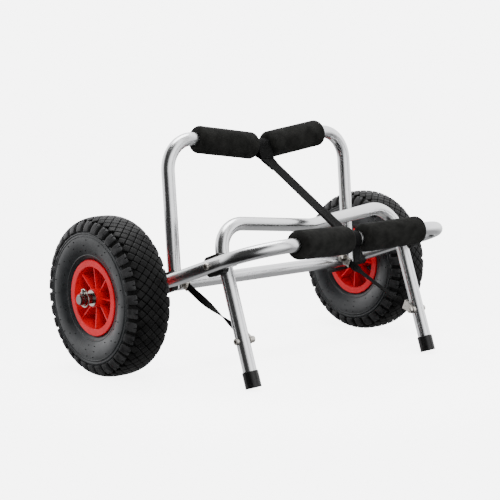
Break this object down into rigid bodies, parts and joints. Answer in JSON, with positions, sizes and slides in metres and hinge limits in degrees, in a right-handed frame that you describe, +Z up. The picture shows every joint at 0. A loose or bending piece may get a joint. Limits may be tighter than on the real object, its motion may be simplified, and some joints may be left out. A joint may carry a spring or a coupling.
{
  "type": "folding boat cart",
  "caption": "Folding boat cart: a tube cradle with foam bars, a drop-down stand, webbing straps and pneumatic wheels on stub axles.",
  "frame": {"origin": "on the ground under the middle of the cart's box", "axes": "+X along the axle, -Y towards the front bar and the feet, +Z up"},
  "size_m": [0.696, 0.4336, 0.3982],
  "materials": {
    "frame_tube": "satin",
    "foam": "matte",
    "black_plastic": "matte",
    "webbing": "woven",
    "foot_rubber": "satin",
    "tyre": "matte",
    "tube_rubber": "matte",
    "red_plastic": "gloss",
    "bush_plastic": "matte",
    "axle_steel": "satin",
    "zinc": "zinc plated"
  },
  "bodies": {
    "front_frame": {"front_frame_tube": "frame_tube", "axle_cross_tube": "frame_tube", "front_foam_left": "foam", "front_foam_right": "foam", "axle_block_left": "black_plastic", "axle_block_right": "black_plastic", "axle_sleeve_left": "black_plastic", "axle_sleeve_right": "black_plastic", "stub_axle_left": "axle_steel", "stub_axle_right": "axle_steel", "axle_washers": "zinc", "linch_pin_left": "zinc", "linch_pin_right": "zinc", "rear_saddle_left": "black_plastic", "rear_saddle_right": "black_plastic", "stand_saddle_left": "black_plastic", "stand_saddle_right": "black_plastic", "rear_pivot_bolts": "zinc", "rear_pivot_nuts": "zinc", "stand_pivot_bolts": "zinc", "stand_pivot_nuts": "zinc", "stand_pivot_washers": "zinc", "upper_strap_clip_left": "zinc", "upper_strap_clip_right": "zinc", "main_strap": "webbing", "lower_strap_left": "webbing", "lower_strap_right": "webbing"},
    "rear_frame": {"rear_frame_tube": "frame_tube", "rear_foam_left": "foam", "rear_foam_right": "foam", "rear_leg_plugs": "frame_tube"},
    "stand": {"stand_tube": "frame_tube", "foot_cap_left": "foot_rubber", "foot_cap_right": "foot_rubber", "strap_bolts": "zinc", "strap_nuts": "zinc", "lower_strap_clip_left": "zinc", "lower_strap_clip_right": "zinc"},
    "wheel_left": {"wheel_left_tyre": "tyre", "wheel_left_inner_tube": "tube_rubber", "wheel_left_rim_outer": "red_plastic", "wheel_left_rim_inner": "red_plastic", "wheel_left_bushes": "bush_plastic", "wheel_left_valve_stem": "tube_rubber", "wheel_left_valve_cap": "black_plastic"},
    "wheel_right": {"wheel_right_tyre": "tyre", "wheel_right_inner_tube": "tube_rubber", "wheel_right_rim_outer": "red_plastic", "wheel_right_rim_inner": "red_plastic", "wheel_right_bushes": "bush_plastic", "wheel_right_valve_stem": "tube_rubber", "wheel_right_valve_cap": "black_plastic"},
    "ring_left": {"linch_ring_left": "zinc"},
    "ring_right": {"linch_ring_right": "zinc"}
  },
  "joints": [
    {"name": "rear_fold", "type": "hinge", "parent": "front_frame", "child": "rear_frame", "pos_m": [0, 0.03167, 0.14792], "axis": [1, 0, 0], "range_deg": [0, 48], "deforming": ["main_strap"]},
    {"name": "stand_fold", "type": "hinge", "parent": "front_frame", "child": "stand", "pos_m": [0, -0.09672, 0.18964], "axis": [1, 0, 0], "range_deg": [0, 68], "deforming": ["lower_strap_left", "lower_strap_right"]},
    {"name": "wheel_left_spin", "type": "hinge", "parent": "front_frame", "child": "wheel_left", "pos_m": [-0.2917, 0.08683, 0.13], "axis": [1, 0, 0], "continuous": true},
    {"name": "wheel_right_spin", "type": "hinge", "parent": "front_frame", "child": "wheel_right", "pos_m": [0.2917, 0.08683, 0.13], "axis": [1, 0, 0], "continuous": true},
    {"name": "ring_left_flip", "type": "hinge", "parent": "front_frame", "child": "ring_left", "pos_m": [-0.337, 0.08683, 0.1426], "axis": [0, 1, 0], "range_deg": [0, 100]},
    {"name": "ring_right_flip", "type": "hinge", "parent": "front_frame", "child": "ring_right", "pos_m": [0.337, 0.08683, 0.1426], "axis": [0, -1, 0], "range_deg": [0, 100]}
  ]
}
